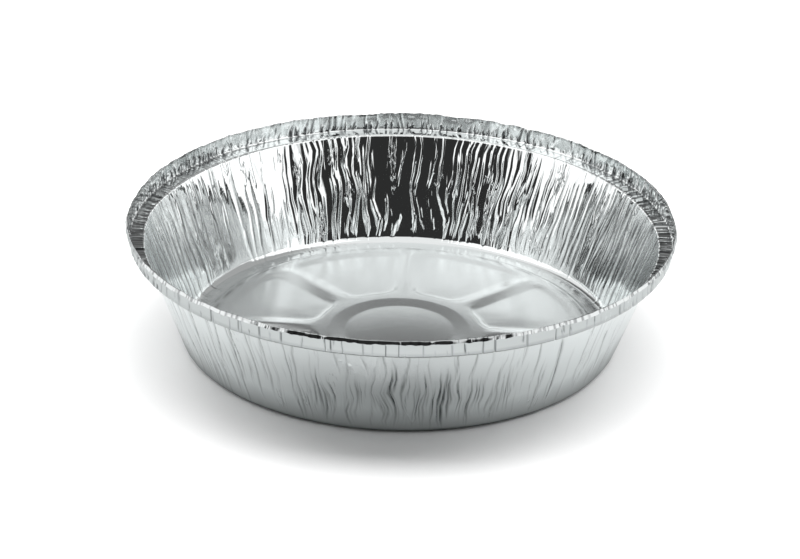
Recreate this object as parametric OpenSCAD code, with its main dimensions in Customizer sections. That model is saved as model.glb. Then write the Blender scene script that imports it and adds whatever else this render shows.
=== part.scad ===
// Round foil pie tin, pressed from one sheet of foil.
// It stands on its base, with +Z up and its origin at the centre of the table plane.
// The sheet is followed from the centre outwards: pressed base, standing ring,
// pleated wall, lid ledge, upright flange and the small roll on the flange's edge.

/* [Tin] */
// Diameter over the rolled edge
rim_d = 182; // [176:1:220]
// Height from the table to the top of the rolled edge
tin_h = 41.7; // [32:0.1:60]
// Diameter at which the wall's line would meet the table
base_d = 144; // [142:1:148]
// Thickness of the foil
foil_t = 0.1; // [0.08:0.01:0.14]
// Radius of the bend between base and wall
corner_r = 3; // [2:0.25:4]

/* [Rim] */
// Width of the flat ledge that carries a lid
ledge_w = 4.7; // [3.5:0.1:6]
// Height of the rolled edge above the ledge
flange_h = 6.2; // [4.5:0.1:9]
// Outward lean of the flange over its height
flange_lean = 0.3; // [0.1:0.1:0.8]
// Width of the outward roll on the flange's edge
curl_w = 0.85; // [0.7:0.05:1.4]
// Height of the roll, from its raw edge to its top
curl_h = 1.1; // [0.9:0.05:1.6]
// Slant of the roll's outer face from upright, in degrees
lip_slant = 25; // [15:1:30]
// Distance over which the wall, ledge and flange bend into each other
bend_w = 0.7; // [0.4:0.05:1]

/* [Pressed base] */
// Number of sunk panels, with a ridge between each two
panel_count = 8; // [6:1:10]
// Height of the base's pattern above the standing ring
base_rise = 1.3; // [1:0.1:2]
// Depth of a panel below the rest of the pattern
panel_depth = 0.5; // [0.3:0.05:0.9]
// Radius at which the panels start
panel_in_r = 27.3; // [26.5:0.1:32]
// Radius at which the panels end
panel_out_r = 61.2; // [56:0.1:61.5]
// Width of the sloped border round each panel
border_w = 2.8; // [2:0.1:3.2]
// Corner radius of a panel's upper outline
panel_corner_r = 6; // [5:0.25:8]
// Width of the top of each ridge
ridge_w = 4.4; // [3:0.1:6]
// Height of the ridge's crest above its own edges
ridge_crown = 0.35; // [0.1:0.05:0.6]
// Radius of the disc in the middle
disc_r = 18.3; // [14:0.1:18.5]
// Depth of the disc's edge below the rest of the pattern
disc_depth = 0.45; // [0.2:0.05:0.8]
// Rise of the disc's middle above its edge
disc_dome = 0.2; // [0.05:0.05:0.4]
// Width of the sloped ring that rises from the disc to the pattern
disc_ring_w = 5.1; // [4:0.1:5.3]
// Radius at which the base steps down to the standing ring
step_r = 64.4; // [63:0.1:65.4]
// Width of that step
step_w = 1.9; // [1.5:0.1:2.8]

/* [Folds] */
// Number of pleats round the wall
pleat_count = 112; // [96:4:116]
// Depth of the deepest pleats
pleat_depth = 0.55; // [0.2:0.05:0.8]
// Depth of the folds that cross the ledge and the flange
rim_fold = 0.16; // [0.05:0.01:0.25]
// How far the rolled edge wanders in and down from its full size
edge_wander = 0.4; // [0.1:0.05:0.5]
// Depth of the few long creases in the wall
crease_depth = 0.7; // [0.2:0.1:1]
// Changes which pleats are deep and which are shallow
fold_seed = 7; // [1:1:50]

/* [Hidden] */

// Turn of each long crease round the wall, in degrees from +X
CREASE_TURNS = [90, 229, 234, 312];
// How far a pleat may sit from its even place, as a share of the spacing
PLEAT_DRIFT = 0.45;
// Rows of points up the wall
WALL_ROWS = 4;
// Segments in each corner of a panel's outline, always even
CORNER_STEPS = 4;
// Segments of a sector's inner and outer arc
IN_STEPS = 4;
OUT_STEPS = 8;
// Points on each ridge's crest between the two arcs
CREST_POINTS = 3;

sector = 360 / panel_count;
half_sector = sector / 2;
n_in = IN_STEPS * panel_count;
n_out = OUT_STEPS * panel_count;
n_wall = 2 * pleat_count;
n_rim = pleat_count;
land_z = foil_t + base_rise;
floor_z = land_z - panel_depth;
disc_z = land_z - disc_depth;

// Side view of the sheet's upper face, from the step at the base to the raw edge.
rim_r = rim_d / 2;
flange_top_r = rim_r - curl_w;
flange_foot_r = flange_top_r - flange_lean;
ledge_z = tin_h - flange_h;
ledge_in_r = flange_foot_r - ledge_w;
base_r = base_d / 2;
wall_dir = [ledge_in_r - base_r, ledge_z - foil_t] / norm([ledge_in_r - base_r, ledge_z - foil_t]);
wall_tilt = atan2(wall_dir.x, wall_dir.y);
corner_turn = 90 - wall_tilt;
corner_cut = corner_r * tan(corner_turn / 2);
wall_foot = [base_r, foil_t] + corner_cut * wall_dir;
wall_top = [ledge_in_r, ledge_z] - bend_w * wall_dir;
stand_r = base_r - corner_cut;
corner_mid = [stand_r + corner_r * sin(corner_turn / 2),
              foil_t + corner_r * (1 - cos(corner_turn / 2))];

// The roll is a narrow top and a lip that slants out and down to the raw edge.
lip_w = curl_h * tan(lip_slant);
curl_top_w = curl_w - lip_w;

wall_profile = [for (i = [0:WALL_ROWS - 1]) wall_foot + (wall_top - wall_foot) * i / (WALL_ROWS - 1)];
rim_profile = [
    [ledge_in_r + bend_w, ledge_z],
    [flange_foot_r - bend_w, ledge_z],
    [flange_foot_r, ledge_z + bend_w],
    [flange_top_r, tin_h - curl_top_w],
    [flange_top_r + 0.7 * curl_top_w, tin_h],
    [rim_r - 0.8 * lip_w, tin_h - 0.2 * curl_h],
    [rim_r, tin_h - curl_h]];
side = concat([[step_r + step_w, foil_t], [stand_r, foil_t], corner_mid], wall_profile, rim_profile);
side_counts = concat([n_rim, n_rim, n_wall],
                     [for (p = wall_profile) n_wall],
                     [for (p = rim_profile) n_rim]);
FIRST_WALL = 3;
FIRST_RIM = FIRST_WALL + WALL_ROWS;
CURL_TOP = FIRST_RIM + 4;
CURL_OUT = FIRST_RIM + 5;
LAST = len(side) - 1;

// Outward direction of the foil at each point of the side view, mitred at its bends.
function edge_normal(i) = let (d = side[i + 1] - side[i]) [d.y, -d.x] / norm(d);
function side_normal(i) =
    i == 0 ? [0, -1] :
    i == LAST ? edge_normal(LAST - 1) :
    let (a = edge_normal(i - 1), b = edge_normal(i)) (a + b) / (1 + a * b);
normals = [for (i = [0:LAST]) side_normal(i)];

// Seeded chance values, one list for each use.
chance = [for (row = [0:WALL_ROWS]) rands(0, 1, n_wall, fold_seed + row)];
drift = [for (row = [0:WALL_ROWS]) rands(-1, 1, n_wall, fold_seed + 20 + row)];
edge_chance = [for (row = [0:3]) rands(0, 1, n_rim, fold_seed + 40 + row)];

// Share of the full pleat depth at a height up the wall, least at the base.
function pleat_share(h) = 0.25 + 0.75 * sin(90 * min(1, 1.4 * h));
// 1 on a long crease, falling to 0 one pleat away.
function crease_share(turn) =
    max([for (c = CREASE_TURNS) max(0, 1 - abs(turn - c) * pleat_count / 360)]);

// Pleats: ridge and valley in turn, each of its own strength, plus the long creases.
function wall_move(row, j) =
    let (h = row / (WALL_ROWS - 1),
         strength = 0.2 + 0.8 * ((1 - h) * chance[0][j] + h * chance[row][j]),
         way = j % 2 == 0 ? 1 : -1)
    pleat_share(h) * (way * pleat_depth * strength / 2
        - crease_depth * crease_share(360 * j / n_wall) * (1 - 0.6 * h));

// The rolled edge keeps its full size at the four points on X and Y.
function free_edge(j) = j % (n_rim / 4) == 0 ? 0 : 1;
function rim_move(s, j) =
    s >= CURL_TOP ? 0 :
    (j % 2 == 0 ? 1 : -1) * rim_fold * (0.3 + 0.7 * edge_chance[0][j]);

function turn_of(s, j) =
    let (n = side_counts[s],
         row = s - FIRST_WALL,
         shift = row < 0 || row >= WALL_ROWS ? 0 : PLEAT_DRIFT * (drift[0][j] + 0.5 * drift[row + 1][j]) / 1.5)
    360 * (j + shift) / n;

// One point of the sheet's upper face in side view, folds included.
function side_point(s, j) =
    let (row = s - FIRST_WALL)
    row < 0 ? side[s] :
    row < WALL_ROWS ? side[s] + normals[s] * wall_move(row, j) :
    s == CURL_TOP ? side[s] - [0, edge_wander * edge_chance[1][j] * free_edge(j)] :
    s == CURL_OUT ? side[s] - [edge_wander * edge_chance[2][j] * free_edge(j), 0.3 * edge_wander] :
    s == LAST ? side[s] - [edge_wander * edge_chance[2][j] * free_edge(j),
                           edge_wander * (edge_chance[3][j] - 0.5)] :
    side[s] + normals[s] * rim_move(s, j);

function turned(p, turn) = [p.x * cos(turn), p.x * sin(turn), p.y];

// Outline of half a panel as [radius, turn], from the middle of its inner arc, round
// both corners at the ridge, to the middle of its outer arc. The side runs parallel
// to the ridge at the distance off, and the corners are true arcs of radius rho.
function polar(p) = [norm(p), atan2(p.y, p.x)];
function corner_arc(c, rho, a, b) =
    [for (i = [0:CORNER_STEPS]) let (t = a + (b - a) * i / CORNER_STEPS) polar(c + rho * [cos(t), sin(t)])];
function half_panel(r_in, r_out, off, rho) =
    let (y = off + rho,
         c_in = [sqrt(pow(r_in + rho, 2) - y * y), y],
         c_out = [sqrt(pow(r_out - rho, 2) - y * y), y],
         t_in = atan2(c_in.y, c_in.x),
         t_out = atan2(c_out.y, c_out.x))
    concat([[r_in, half_sector]],
           corner_arc(c_in, rho, 180 + t_in, 270),
           [polar([(c_in.x + c_out.x) / 2, off])],
           corner_arc(c_out, rho, 270, 360 + t_out),
           [for (i = [1:2]) [r_out, t_out + (half_sector - t_out) * i / 3]],
           [[r_out, half_sector]]);
// The other half is the first one mirrored about the middle of the panel.
function whole_panel(half) =
    concat(half, [for (i = [len(half) - 2:-1:1]) [half[i][0], sector - half[i][1]]]);

upper_outline = whole_panel(half_panel(panel_in_r, panel_out_r, ridge_w / 2, panel_corner_r));
lower_outline = whole_panel(half_panel(panel_in_r + border_w, panel_out_r - border_w,
                                       ridge_w / 2 + border_w, panel_corner_r - border_w));
n_loop = len(upper_outline);

function spin_loop(outline, k, z) = [for (p = outline) turned([p[0], z], p[1] + k * sector)];
function ring(r, z, n) = [for (j = [0:n - 1]) turned([r, z], 360 * j / n)];
function crest_r(i) = panel_in_r + (panel_out_r - panel_in_r) * (i + 1) / (CREST_POINTS + 1);

// Rings inside the panels: the dome at half the disc, disc edge, edge of the pattern.
inner_rings = [
    [disc_r / 2, disc_z + 0.75 * disc_dome],
    [disc_r, disc_z],
    [disc_r + disc_ring_w, land_z]];

base_points = concat(
    [[0, 0, disc_z + disc_dome]],
    [for (q = inner_rings) each ring(q[0], q[1], n_in)],
    ring(step_r, land_z, n_out),
    [for (k = [0:panel_count - 1]) for (i = [0:CREST_POINTS - 1])
        turned([crest_r(i), land_z + ridge_crown], k * sector)],
    [for (k = [0:panel_count - 1]) each concat(
        spin_loop(upper_outline, k, land_z),
        spin_loop(lower_outline, k, floor_z),
        [turned([(panel_in_r + panel_out_r) / 2, floor_z], (k + 0.5) * sector)])]);

// Where each group of points starts in the list.
AT_RINGS = 1;
AT_LAND = AT_RINGS + 2 * n_in;
AT_STEP = AT_LAND + n_in;
AT_CREST = AT_STEP + n_out;
AT_PANEL = AT_CREST + panel_count * CREST_POINTS;
PANEL_SIZE = 2 * n_loop + 1;
AT_SIDE = AT_PANEL + panel_count * PANEL_SIZE;
side_at = [for (s = 0, at = AT_SIDE; s <= LAST; at = at + side_counts[s], s = s + 1) at];

upper_points = concat(base_points,
    [for (s = [0:LAST]) for (j = [0:side_counts[s] - 1]) turned(side_point(s, j), turn_of(s, j))]);
// The lower face lies one foil thickness away, straight down under the base.
lower_points = concat(
    [for (p = base_points) p - [0, 0, foil_t]],
    [for (s = [0:LAST]) for (j = [0:side_counts[s] - 1])
        turned(side_point(s, j) + foil_t * normals[s], turn_of(s, j))]);

// Triangles between two closed rings of n and m points that start at the same turn.
function nearest(i, n, m) = floor((i + 0.5) * m / n + 0.5) % m;
function first_after(i, n, m) = ceil((i + 0.5) * m / n - 0.5) % m;
function stitch(a, n, b, m) = concat(
    [for (i = [0:n - 1]) [a + i, b + (n <= m ? first_after(i, n, m) : nearest(i, n, m)), a + (i + 1) % n]],
    [for (j = [0:m - 1]) [a + (n <= m ? nearest(j, m, n) : first_after(j, m, n)), b + j, b + (j + 1) % m]]);

// Points round one sector of the base: inner arc, ridge crest, outer arc, next crest.
function land_point(i) = AT_LAND + (i + n_in) % n_in;
function step_point(i) = AT_STEP + i % n_out;
function crest_point(k, i) = AT_CREST + (k % panel_count) * CREST_POINTS + i;
function sector_loop(k) = concat(
    [for (i = [IN_STEPS / 2:-1:0]) land_point(IN_STEPS * k + i)],
    [for (i = [0:CREST_POINTS - 1]) crest_point(k, i)],
    [for (i = [0:OUT_STEPS]) step_point(OUT_STEPS * k + i)],
    [for (i = [CREST_POINTS - 1:-1:0]) crest_point(k + 1, i)],
    [for (i = [IN_STEPS:-1:IN_STEPS / 2 + 1]) land_point(IN_STEPS * k + i)]);

// Point of a panel's upper outline that each point of the sector's loop faces.
half_corner = CORNER_STEPS / 2;
half_facing = [0, 1, 1 + half_corner, 1 + CORNER_STEPS, 2 + CORNER_STEPS, 3 + CORNER_STEPS,
               3 + CORNER_STEPS + half_corner, 3 + 2 * CORNER_STEPS,
               4 + 2 * CORNER_STEPS, 5 + 2 * CORNER_STEPS, 6 + 2 * CORNER_STEPS];
facing = concat(half_facing, [for (i = [len(half_facing) - 2:-1:0]) n_loop - half_facing[i]]);

function land_faces(k) =
    let (loop = sector_loop(k), n = len(loop), at = AT_PANEL + k * PANEL_SIZE)
    [for (t = [0:n - 1])
        let (a = loop[t], b = loop[(t + 1) % n], from = facing[t], to = facing[t + 1],
             mid = ceil((from + to) / 2))
        each concat([[a, b, at + mid % n_loop]],
            [for (i = [from:1:mid - 1]) [a, at + (i + 1) % n_loop, at + i % n_loop]],
            [for (i = [mid:1:to - 1]) [b, at + (i + 1) % n_loop, at + i % n_loop]])];
function panel_faces(k) =
    let (up = AT_PANEL + k * PANEL_SIZE, low = up + n_loop, middle = low + n_loop)
    [for (i = [0:n_loop - 1]) let (j = (i + 1) % n_loop) each [
        [up + i, up + j, low + i],
        [up + j, low + j, low + i],
        [low + i, low + j, middle]]];

base_faces = concat(
    [for (j = [0:n_in - 1]) [0, AT_RINGS + j, AT_RINGS + (j + 1) % n_in]],
    [for (q = [0:1]) each stitch(AT_RINGS + q * n_in, n_in, AT_RINGS + (q + 1) * n_in, n_in)],
    [for (k = [0:panel_count - 1]) each concat(land_faces(k), panel_faces(k))],
    stitch(AT_STEP, n_out, side_at[0], side_counts[0]));
side_faces = [for (s = [0:LAST - 1]) each stitch(side_at[s], side_counts[s], side_at[s + 1], side_counts[s + 1])];
sheet_faces = concat(base_faces, side_faces);

n_sheet = len(upper_points);
function flip(faces) = [for (f = faces) [f[2], f[1], f[0]]];
function lift(faces, by) = [for (f = faces) [f[0] + by, f[1] + by, f[2] + by]];

module pie_tin() {
    color("silver")
    polyhedron(
        points = concat(upper_points, lower_points),
        faces = concat(flip(sheet_faces),
                       lift(sheet_faces, n_sheet),
                       flip(stitch(side_at[LAST], n_rim, side_at[LAST] + n_sheet, n_rim))));
}

pie_tin();
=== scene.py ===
"""Foil pie tin, pressed from one sheet of aluminium foil, on a white studio floor.

The sheet is a closed shell worked out as whole arrays: a pressed base as a height
field, and a side profile of straights and bends carried round the tin, moved along its
normals by seeded creases. Lengths are in millimetres until a mesh is made.
"""

import logging
import math
from dataclasses import dataclass, field
from enum import Enum

import bpy
import numpy as np
from mathutils import Matrix, Vector


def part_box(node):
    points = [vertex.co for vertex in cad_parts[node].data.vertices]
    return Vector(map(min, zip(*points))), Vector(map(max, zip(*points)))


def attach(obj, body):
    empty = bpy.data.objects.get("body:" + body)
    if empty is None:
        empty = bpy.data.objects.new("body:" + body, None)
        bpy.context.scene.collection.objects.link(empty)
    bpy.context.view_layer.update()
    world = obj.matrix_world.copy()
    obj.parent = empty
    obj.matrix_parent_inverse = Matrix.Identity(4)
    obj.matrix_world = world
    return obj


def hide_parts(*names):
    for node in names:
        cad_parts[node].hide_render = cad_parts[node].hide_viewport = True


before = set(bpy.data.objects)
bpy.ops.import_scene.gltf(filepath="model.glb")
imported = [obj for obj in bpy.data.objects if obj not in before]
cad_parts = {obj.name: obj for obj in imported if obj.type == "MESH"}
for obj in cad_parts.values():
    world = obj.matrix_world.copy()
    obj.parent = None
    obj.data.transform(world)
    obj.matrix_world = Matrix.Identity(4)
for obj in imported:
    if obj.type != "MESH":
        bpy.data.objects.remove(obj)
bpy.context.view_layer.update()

log = logging.getLogger("foil_pie_tin")

MM = 0.001
NODE = "pie_tin"
SHADE_ATTRIBUTE = "painted_shade"


def linear(hex_colour: str) -> tuple[float, float, float]:
    """Turns an sRGB hex colour into linear light.

    Args:
        hex_colour: Six hex digits after a hash mark.

    Returns:
        Red, green and blue in linear light.
    """
    parts = [int(hex_colour[i:i + 2], 16) / 255 for i in (1, 3, 5)]
    return tuple(p / 12.92 if p <= 0.04045 else ((p + 0.055) / 1.055) ** 2.4 for p in parts)


def add_node(tree: bpy.types.NodeTree, kind: str, settings: dict | None = None, **inputs) -> bpy.types.Node:
    """Adds a shader node, sets its properties and fills or links its inputs.

    Args:
        tree: Node tree that the node goes into.
        kind: Blender's type name, such as ShaderNodeMath.
        settings: Properties of the node itself, by name.
        inputs: Values or output sockets by input name, or by number as i0, i1 and so on.

    Returns:
        The new node.
    """
    node = tree.nodes.new(kind)
    for name, value in (settings or {}).items():
        setattr(node, name, value)
    for name, value in inputs.items():
        numbered = name[0] == "i" and name[1:].isdigit()
        socket = node.inputs[int(name[1:]) if numbered else name.replace("_", " ")]
        if isinstance(value, bpy.types.NodeSocket):
            tree.links.new(value, socket)
        else:
            socket.default_value = value
    return node


def smooth(value: np.ndarray, low: float, high: float) -> np.ndarray:
    """Rises from 0 at low to 1 at high along 3t^2 - 2t^3."""
    t = np.clip((value - low) / (high - low), 0, 1)
    return t * t * (3 - 2 * t)


def ramp(distance: np.ndarray, width: float, ease: float) -> np.ndarray:
    """A straight ramp from 0 to 1 with rounded ends.

    It is the difference of two hyperbolas, one at each end of the ramp, over twice
    its width, so the slope eases in and out within about the ease distance.

    Args:
        distance: Distance past the ramp's start.
        width: Length of the ramp.
        ease: Rounding at both ends.

    Returns:
        Height from 0 to 1 at each distance.
    """
    start = np.sqrt(distance ** 2 + ease ** 2)
    end = np.sqrt((distance - width) ** 2 + ease ** 2)
    return (start - end + width) / (2 * width)


@dataclass(frozen=True)
class ChanceRelief:
    """Seeded gradient noise over an unrolled ring, without a seam.

    At each lattice corner a unit slope is multiplied by the offset to the point, and
    the four values are blended by 6t^5 - 15t^4 + 10t^3. The lattice closes after one
    turn.

    Attributes:
        cells: Lattice cells in one turn.
        tall: Height of a cell in millimetres.
        seed: Seed of the slopes.
    """

    cells: int
    tall: float
    seed: int

    def at(self, turn: np.ndarray, height: np.ndarray, wander: np.ndarray | float = 0.0) -> np.ndarray:
        """Value of the relief, from about -1 to 1.

        Args:
            turn: Place round the ring, from 0 to 1.
            height: Place across the ring in millimetres.
            wander: Sideways shift in cells.

        Returns:
            One value for each point.
        """
        rows = 97
        slopes = np.random.default_rng(self.seed).uniform(0, 2 * math.pi, (self.cells, rows))
        x = turn * self.cells + wander
        y = height / self.tall + 7.3
        x0, y0 = np.floor(x), np.floor(y)
        fx, fy = x - x0, y - y0
        ix, iy = x0.astype(int), y0.astype(int)

        def corner(dx: int, dy: int) -> np.ndarray:
            """Slope at one corner multiplied by the offset to the point."""
            a = slopes[(ix + dx) % self.cells, (iy + dy) % rows]
            return np.cos(a) * (fx - dx) + np.sin(a) * (fy - dy)

        u = fx ** 3 * (fx * (fx * 6 - 15) + 10)
        v = fy ** 3 * (fy * (fy * 6 - 15) + 10)
        low = corner(0, 0) * (1 - u) + corner(1, 0) * u
        high = corner(0, 1) * (1 - u) + corner(1, 1) * u
        return 1.5 * (low * (1 - v) + high * v)


def near(turn: np.ndarray, centre: float, spread: float) -> np.ndarray:
    """A bell round one direction of the tin, with both angles in degrees."""
    apart = (turn * 360 - centre + 180) % 360 - 180
    return np.exp(-(apart / spread) ** 2)


def crowd(share: np.ndarray) -> np.ndarray:
    """Places round the tin for even shares, closer together behind and in front.

    Adds a sine of two periods, so the spacing is least on the Y axis, where the wall
    is seen square on, and greatest on the X axis.
    """
    return share + 0.3 / (4 * math.pi) * np.sin(4 * math.pi * share)


def stitch(a: int, inner: np.ndarray, b: int, outer: np.ndarray) -> np.ndarray:
    """Triangles between two closed rings that start at the same turn.

    Each edge of one ring is joined to the point of the other ring that lies between
    the middles of that ring's edges on either side of the edge's own middle.

    Args:
        a: First point of the inner ring.
        inner: Places of its points round the tin, from 0 to 1.
        b: First point of the outer ring.
        outer: Places of its points.

    Returns:
        Triangles as rows of three point numbers, anticlockwise seen from above.
    """
    n, m = len(inner), len(outer)
    i, j = np.arange(n), np.arange(m)
    inner_middle = (inner + np.append(inner[1:], 1)) / 2
    outer_middle = (outer + np.append(outer[1:], 1)) / 2
    to_outer = np.searchsorted(outer_middle, inner_middle, "left") % m
    to_inner = np.searchsorted(inner_middle, outer_middle, "right") % n
    inward = np.stack([a + i, b + to_outer, a + (i + 1) % n], axis=1)
    outward = np.stack([a + to_inner, b + j, b + (j + 1) % m], axis=1)
    return np.concatenate([inward, outward])


class Zone(Enum):
    """Ring densities, as points in one turn."""

    DISC = 128
    PATTERN = 288
    SIDE = 1280


@dataclass
class PressedBase:
    """The pressed pattern of the base, as heights over the table plane.

    Attributes:
        foil: Thickness of the foil.
        rise: Height of the pattern above the standing ring.
        panels: Number of sunk panels, with a ridge between each two.
        panel_depth: Depth of a panel below the pattern.
        panel_in: Radius at which the panels start.
        panel_out: Radius at which the panels end.
        border: Width of a panel's sloped border.
        corner: Corner radius of a panel's upper outline.
        ridge: Width of the top of a ridge.
        crown: Height of a ridge's crest above its edges.
        disc: Radius of the disc in the middle.
        disc_ring: Width of the sloped ring that rises from the disc to the pattern.
        disc_depth: Depth of the disc's edge below the pattern.
        disc_dome: Rise of the disc's middle above its edge.
        step: Radius at which the base steps down.
        step_width: Width of that step.
    """

    foil: float = 0.1
    rise: float = 1.3
    panels: int = 8
    panel_depth: float = 0.5
    panel_in: float = 27.3
    panel_out: float = 61.2
    border: float = 2.8
    corner: float = 6.0
    ridge: float = 4.4
    crown: float = 0.35
    disc: float = 18.3
    disc_ring: float = 5.1
    disc_depth: float = 0.45
    disc_dome: float = 0.2
    step: float = 64.4
    step_width: float = 1.9

    @property
    def stand(self) -> float:
        """Radius at which the flat standing ring starts."""
        return self.step + self.step_width

    def panel_distance(self, radius: np.ndarray, turn: np.ndarray) -> np.ndarray:
        """Distance to the nearest panel's upper outline, negative inside.

        The outline is where the distance to the ridge's edge and the distance to the
        two arcs meet, with the corner rounded by the length of the two distances
        taken together once each is within the corner radius.
        """
        sector = 1 / self.panels
        off = (turn + sector / 2) % sector - sector / 2
        across = np.abs(radius * np.sin(off * 2 * math.pi))
        side = self.ridge / 2 - across + self.corner
        ring = np.maximum(self.panel_in - radius, radius - self.panel_out) + self.corner
        rounded = np.hypot(np.maximum(side, 0), np.maximum(ring, 0))
        return rounded + np.minimum(np.maximum(side, ring), 0) - self.corner

    def height(self, radius: np.ndarray, turn: np.ndarray) -> np.ndarray:
        """Height of the foil's upper face over the table.

        Panels, disc ring and step are ramps in their distances, a panel's border is
        narrower at its inner end than along the ridges, the disc is a shallow
        paraboloid, and a ridge's crown is a parabola across it.
        """
        beside = smooth(radius, self.panel_in + 1.5, self.panel_in + 8)
        border = self.border * (0.5 + 0.5 * beside)
        sunk = self.panel_depth * ramp(-self.panel_distance(radius, turn), border, 0.35 - 0.23 * beside)
        disc = self.disc_depth * (1 - ramp(radius - self.disc, self.disc_ring, 0.12))
        dome = self.disc_dome * np.maximum(0, 1 - (radius / self.disc) ** 2)
        notches = 0.8 * np.maximum(0, ChanceRelief(46, 9.0, 17).at(turn, np.zeros_like(turn)) - 0.3)
        drop = self.rise * ramp(radius - self.step + notches, self.step_width, 0.4)
        sector = 1 / self.panels
        off = (turn + sector / 2) % sector - sector / 2
        across = np.abs(radius * np.sin(off * 2 * math.pi)) / (self.ridge / 2)
        along = smooth(radius, self.panel_in - 1, self.panel_in + 16) * (
            1 - smooth(radius, self.panel_out - 5, self.panel_out + 1))
        crown = self.crown * np.maximum(0, 1 - across ** 2) * along
        return self.foil + self.rise - sunk - disc + dome - drop + crown + self.unevenness(radius, turn)

    def unevenness(self, radius: np.ndarray, turn: np.ndarray) -> np.ndarray:
        """Slight waves that pressing leaves in flat foil, none on the standing ring."""
        inside = 1 - smooth(radius, self.step - 4, self.step + 0.5)
        waves = ChanceRelief(9, 21.0, 11).at(turn, radius) * smooth(radius, 24, 40)
        dome = 0.2 * smooth(-self.panel_distance(radius, turn), 2, 12)
        return inside * (0.12 * waves + dome)

    def painted_shade(self, radius: np.ndarray, turn: np.ndarray) -> np.ndarray:
        """Painted shade: a dark line of changing strength inside the step, and one at the panels' inner ends."""
        strength = np.clip(1.0 * ChanceRelief(64, 9.0, 19).at(turn, np.zeros_like(turn)) + 0.6, 0.1, 1)
        step = 0.5 * strength * np.maximum(0, 1 - np.abs(radius - self.step + 0.9) / 1.1)
        end = np.maximum(0, 1 - np.abs(self.panel_distance(radius, turn) + 0.15) / 0.6)
        return step + 0.4 * end * (1 - smooth(radius, self.panel_in + 2, self.panel_in + 7))

    def radii(self) -> dict[Zone, np.ndarray]:
        """Ring radii, close together where the pattern slopes."""
        ring_end = self.disc + self.disc_ring
        panel_foot = self.panel_in + self.border
        panel_end = self.panel_out - self.border
        disc = np.array([4, 8, 12, 15.5, self.disc - 0.9, self.disc - 0.2, self.disc + 0.2,
                         self.disc + 0.9, ring_end - 1, ring_end - 0.2, ring_end + 0.2])
        pattern = np.concatenate([
            [ring_end + 0.9, ring_end + 2.2],
            self.panel_in + np.array([-0.8, -0.3, 0.15, 0.6, 1.1, 1.8]), [panel_foot + 0.3],
            np.linspace(panel_foot + 3.5, panel_end - 2.8, 6), [panel_end - 1],
            np.linspace(panel_end - 0.2, self.panel_out + 0.2, 5), [self.panel_out + 1.5],
            np.linspace(self.step - 0.9, self.stand + 0.2, 6)])
        return {Zone.DISC: disc, Zone.PATTERN: pattern}

    def turns(self, radius: float, zone: Zone) -> np.ndarray:
        """Places of a ring's points round the tin, from 0 to 1.

        Beside a ridge the points keep their distance from its middle line, so that
        the mesh follows the ridge's edges. Past that they are even, and towards the
        step they turn into the places of the side's columns.
        """
        half = zone.value // (2 * self.panels)
        beside = half // 2
        reach = 6.0
        inner = max(radius, self.disc + self.disc_ring + 0.5)
        offsets = np.arcsin(reach * np.arange(beside + 1) / beside / inner) / (2 * math.pi)
        middle = 0.5 / self.panels
        rest = offsets[-1] + (middle - offsets[-1]) * np.arange(1, half - beside + 1) / (half - beside)
        half_turns = np.concatenate([offsets, rest])
        sector = np.concatenate([half_turns, 2 * middle - half_turns[-2:0:-1]])
        warped = (sector[None, :] + np.arange(self.panels)[:, None] / self.panels).ravel()
        side = crowd(np.arange(zone.value) / zone.value)
        blend = float(smooth(np.array(radius), self.panel_out - 1, self.stand + 0.4))
        return warped * (1 - blend) + side * blend


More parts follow.
